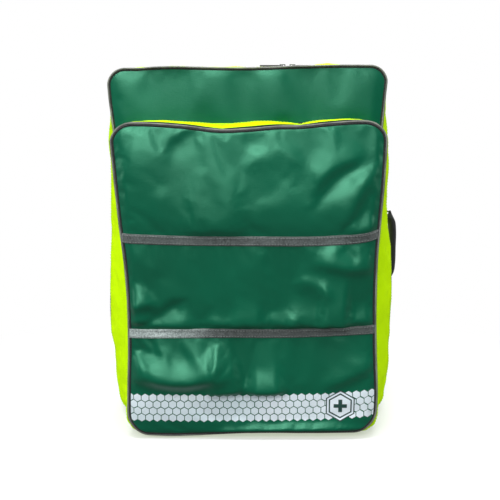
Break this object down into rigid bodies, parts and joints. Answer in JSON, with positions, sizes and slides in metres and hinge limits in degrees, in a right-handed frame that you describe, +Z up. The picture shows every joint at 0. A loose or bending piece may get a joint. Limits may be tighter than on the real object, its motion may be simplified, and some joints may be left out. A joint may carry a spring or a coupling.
{
  "type": "trauma backpack",
  "caption": "Box-shaped medical backpack with a clamshell lid, a zipped front pocket, padded shoulder straps, and top and side carry handles.",
  "frame": {"origin": "centre of the main compartment's base, on the surface the bag stands on", "axes": "+Z up; -Y is the front, where the pocket is; +Y is the wearer's back; +X is the viewer's right when facing the pocket"},
  "size_m": [0.4312, 0.2691, 0.5089],
  "materials": {
    "green_panel": "satin",
    "yellow_side": "matte",
    "grey_piping": "satin",
    "grey_webbing": "matte",
    "black_webbing": "matte",
    "black_mesh": "matte",
    "reflective_film": "satin",
    "black_plastic": "satin",
    "dark_metal": "satin",
    "stiffener": "matte"
  },
  "bodies": {
    "shell": {"rear_side_wall": "yellow_side", "main_zip_rear_tape": "black_webbing", "back_panel": "black_mesh", "back_piping": "grey_piping", "frame_sheet": "stiffener", "base_board": "stiffener", "kit_band_lower": "black_webbing", "kit_band_upper": "black_webbing", "back_pad_left": "black_mesh", "back_pad_right": "black_mesh", "lumbar_pad": "black_mesh", "strap_yoke": "green_panel", "top_handle_anchor_left": "black_webbing", "top_handle_anchor_right": "black_webbing", "side_handle_anchor_lower": "black_webbing", "side_handle_anchor_upper": "black_webbing", "strap_left_tab": "green_panel", "strap_right_tab": "green_panel"},
    "lid": {"lid_side_wall": "yellow_side", "main_zip_lid_tape": "black_webbing", "lid_panel": "green_panel", "lid_piping": "grey_piping", "lid_mesh_pocket": "black_mesh", "mesh_pocket_binding": "grey_webbing", "pocket_rear_side_wall": "yellow_side", "pocket_zip_rear_tape": "black_webbing"},
    "pocket_door": {"pocket_front_side_wall": "yellow_side", "pocket_zip_front_tape": "black_webbing", "pocket_panel": "green_panel", "pocket_piping": "grey_piping", "webbing_band_upper": "grey_webbing", "webbing_band_lower": "grey_webbing", "reflective_band": "reflective_film", "badge_plate": "reflective_film"},
    "main_slider_left": {"main_zip_left_slider": "dark_metal"},
    "main_pull_left": {"main_zip_left_pull": "black_plastic"},
    "main_slider_right": {"main_zip_right_slider": "dark_metal"},
    "main_pull_right": {"main_zip_right_pull": "black_plastic"},
    "pocket_slider_left": {"pocket_zip_left_slider": "dark_metal"},
    "pocket_pull_left": {"pocket_zip_left_pull": "black_plastic"},
    "pocket_slider_right": {"pocket_zip_right_slider": "dark_metal"},
    "pocket_pull_right": {"pocket_zip_right_pull": "black_plastic"},
    "top_handle": {"top_handle_loop": "black_webbing", "top_handle_grip": "black_plastic"},
    "side_handle": {"side_handle_webbing": "black_webbing"},
    "strap_left": {"strap_left_pad": "black_mesh", "strap_left_adjuster": "black_plastic", "strap_left_webbing": "black_webbing"},
    "strap_right": {"strap_right_pad": "black_mesh", "strap_right_adjuster": "black_plastic", "strap_right_webbing": "black_webbing"},
    "strap_tail_left": {"strap_left_tail": "black_webbing"},
    "strap_tail_right": {"strap_right_tail": "black_webbing"}
  },
  "joints": [
    {"name": "lid_open", "type": "hinge", "parent": "shell", "child": "lid", "pos_m": [0, -0.012, 0], "axis": [1, 0, 0], "range_deg": [0, 150]},
    {"name": "pocket_open", "type": "hinge", "parent": "lid", "child": "pocket_door", "pos_m": [0, -0.103, 0.005], "axis": [1, 0, 0], "range_deg": [0, 60]},
    {"name": "main_slider_left_run", "type": "slide", "parent": "shell", "child": "main_slider_left", "axis": [1, 0, 0], "range_m": [-0.18, 0]},
    {"name": "main_pull_left_lift", "type": "hinge", "parent": "main_slider_left", "child": "main_pull_left", "pos_m": [0.046, -0.012, 0.5067], "axis": [0, 1, 0], "range_deg": [0, 95]},
    {"name": "main_slider_right_run", "type": "slide", "parent": "shell", "child": "main_slider_right", "axis": [1, 0, 0], "range_m": [0, 0.09]},
    {"name": "main_pull_right_lift", "type": "hinge", "parent": "main_slider_right", "child": "main_pull_right", "pos_m": [0.06, -0.012, 0.5067], "axis": [0, -1, 0], "range_deg": [0, 95]},
    {"name": "pocket_slider_left_run", "type": "slide", "parent": "lid", "child": "pocket_slider_left", "axis": [1, 0, 0], "range_m": [-0.23, 0]},
    {"name": "pocket_pull_left_lift", "type": "hinge", "parent": "pocket_slider_left", "child": "pocket_pull_left", "pos_m": [0.096, -0.103, 0.4277], "axis": [0, 1, 0], "range_deg": [0, 95]},
    {"name": "pocket_slider_right_run", "type": "slide", "parent": "lid", "child": "pocket_slider_right", "axis": [1, 0, 0], "range_m": [0, 0.028]},
    {"name": "pocket_pull_right_lift", "type": "hinge", "parent": "pocket_slider_right", "child": "pocket_pull_right", "pos_m": [0.11, -0.103, 0.4277], "axis": [0, -1, 0], "range_deg": [0, 95]},
    {"name": "top_handle_swing", "type": "hinge", "parent": "shell", "child": "top_handle", "pos_m": [0, 0.0764, 0.486], "axis": [1, 0, 0], "range_deg": [0, 160]},
    {"name": "side_handle_swing", "type": "hinge", "parent": "shell", "child": "side_handle", "pos_m": [0.21118, 0.034, 0.241], "axis": [0, 0, 1], "range_deg": [-40, 40]},
    {"name": "strap_left_swing", "type": "hinge", "parent": "shell", "child": "strap_left", "pos_m": [-0.158, 0.08, 0.042], "axis": [0.2067, 0.0151, 0.9783], "range_deg": [-25, 25]},
    {"name": "strap_tail_left_swing", "type": "hinge", "parent": "strap_left", "child": "strap_tail_left", "pos_m": [-0.129, 0.1195, 0.181], "axis": [1, 0, 0], "range_deg": [-3, 70]},
    {"name": "strap_right_swing", "type": "hinge", "parent": "shell", "child": "strap_right", "pos_m": [0.158, 0.08, 0.042], "axis": [-0.2067, 0.0151, 0.9783], "range_deg": [-25, 25]},
    {"name": "strap_tail_right_swing", "type": "hinge", "parent": "strap_right", "child": "strap_tail_right", "pos_m": [0.129, 0.1195, 0.181], "axis": [1, 0, 0], "range_deg": [-3, 70]}
  ]
}
